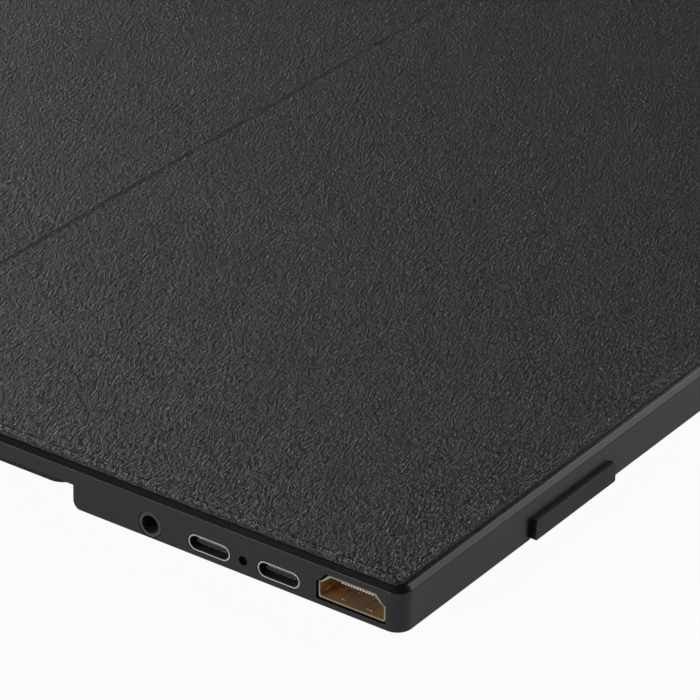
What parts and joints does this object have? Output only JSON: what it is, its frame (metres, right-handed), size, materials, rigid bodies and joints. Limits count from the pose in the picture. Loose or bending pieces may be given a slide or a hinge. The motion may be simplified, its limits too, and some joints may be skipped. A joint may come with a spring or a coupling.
{
  "type": "portable monitor with folding cover",
  "caption": "Thin portable monitor with a side row of sockets and a grained magnetic cover whose flap hinges at the top edge and creases into a stand.",
  "frame": {"origin": "middle of the underside of the whole object's box, with the monitor lying on its back and the cover closed", "axes": "+X along the long side away from the sockets, +Y from the chin's long edge to the spine, +Z out of the screen"},
  "size_m": [0.356, 0.2272, 0.0096],
  "materials": {
    "housing": "fine bead-blasted dark grey anodised finish",
    "bezel": "fine matte moulded black",
    "screen": "anti-glare dark screen",
    "backlight": "white moulded frame and light guide",
    "adhesive": "black foam tape",
    "circuit_board": "green solder resist",
    "ribbon": "amber flexible film",
    "connector_body": "cream moulded",
    "chips": "black moulded packages",
    "shield": "tinned stamped sheet",
    "screws": "zinc-plated",
    "port_shell": "nickel-plated drawn shell",
    "socket_insulator": "black moulded",
    "contacts": "gold-flashed contacts",
    "video_shell": "satin gold-coloured drawn shell",
    "jack_body": "dark grey moulded",
    "indicator": "smoked light pipe",
    "speaker": "black moulded enclosure",
    "lead_insulation": "dark insulated pair",
    "foot_rubber": "matte black rubber",
    "magnets": "nickel-plated magnets",
    "switches": "stamped switch cover",
    "buttons": "dark grey moulded",
    "leather": "grained black synthetic leather",
    "stiffener": "grey-brown fibreboard",
    "lining": "fine brushed microfibre"
  },
  "bodies": {
    "monitor": {"rear_housing": "housing", "front_bezel": "bezel", "lcd_glass": "screen", "backlight_unit": "backlight", "display_adhesive": "adhesive", "driver_board": "circuit_board", "panel_ribbon": "ribbon", "ribbon_connectors": "connector_body", "main_board": "circuit_board", "board_chips": "chips", "board_shield": "shield", "board_screws": "screws", "usb_port_upper": "port_shell", "usb_port_lower": "port_shell", "usb_tongues": "socket_insulator", "usb_contacts": "contacts", "hdmi_port": "video_shell", "hdmi_tongue": "socket_insulator", "hdmi_contacts": "contacts", "audio_jack": "jack_body", "jack_spring": "contacts", "indicator_lens": "indicator", "speaker_left": "speaker", "speaker_right": "speaker", "speaker_leads": "lead_insulation", "foot_pad_left": "foot_rubber", "foot_pad_right": "foot_rubber", "bezel_magnets": "magnets", "keeper_plates": "screws", "key_board": "circuit_board", "key_switches": "switches", "key_ribbon": "ribbon", "rocker_bracket": "bezel", "rocker_pin": "screws", "back_panel_leather": "leather", "back_panel_board": "stiffener", "back_panel_lining": "lining", "cover_magnets": "magnets"},
    "power_button": {"power_button": "buttons"},
    "menu_rocker": {"menu_rocker": "buttons"},
    "spine": {"spine_leather": "leather", "spine_board": "stiffener", "spine_lining": "lining"},
    "flap_upper": {"upper_flap_leather": "leather", "upper_flap_board": "stiffener", "upper_flap_lining": "lining"},
    "flap_lower": {"lower_flap_leather": "leather", "lower_flap_board": "stiffener", "lower_flap_lining": "lining", "flap_magnets": "magnets"}
  },
  "joints": [
    {"name": "power_press", "type": "slide", "parent": "monitor", "child": "power_button", "axis": [-1, 0, 0], "range_m": [0, 0.0005], "stiffness_N_per_m": 800},
    {"name": "rocker_tilt", "type": "hinge", "parent": "monitor", "child": "menu_rocker", "pos_m": [0.1754, -0.0785, 0.0031], "axis": [0, 0, 1], "range_deg": [-2, 2], "stiffness_Nm_per_rad": 0.5},
    {"name": "spine_hinge", "type": "hinge", "parent": "monitor", "child": "spine", "pos_m": [0, 0.112, 0.003], "axis": [-1, 0, 0], "range_deg": [0, 125]},
    {"name": "flap_hinge", "type": "hinge", "parent": "spine", "child": "flap_upper", "pos_m": [0, 0.1125, 0.0093], "axis": [-1, 0, 0], "range_deg": [0, 180]},
    {"name": "crease_hinge", "type": "hinge", "parent": "flap_upper", "child": "flap_lower", "pos_m": [0, 0.0155, 0.00964], "axis": [-1, 0, 0], "range_deg": [0, 94]}
  ]
}
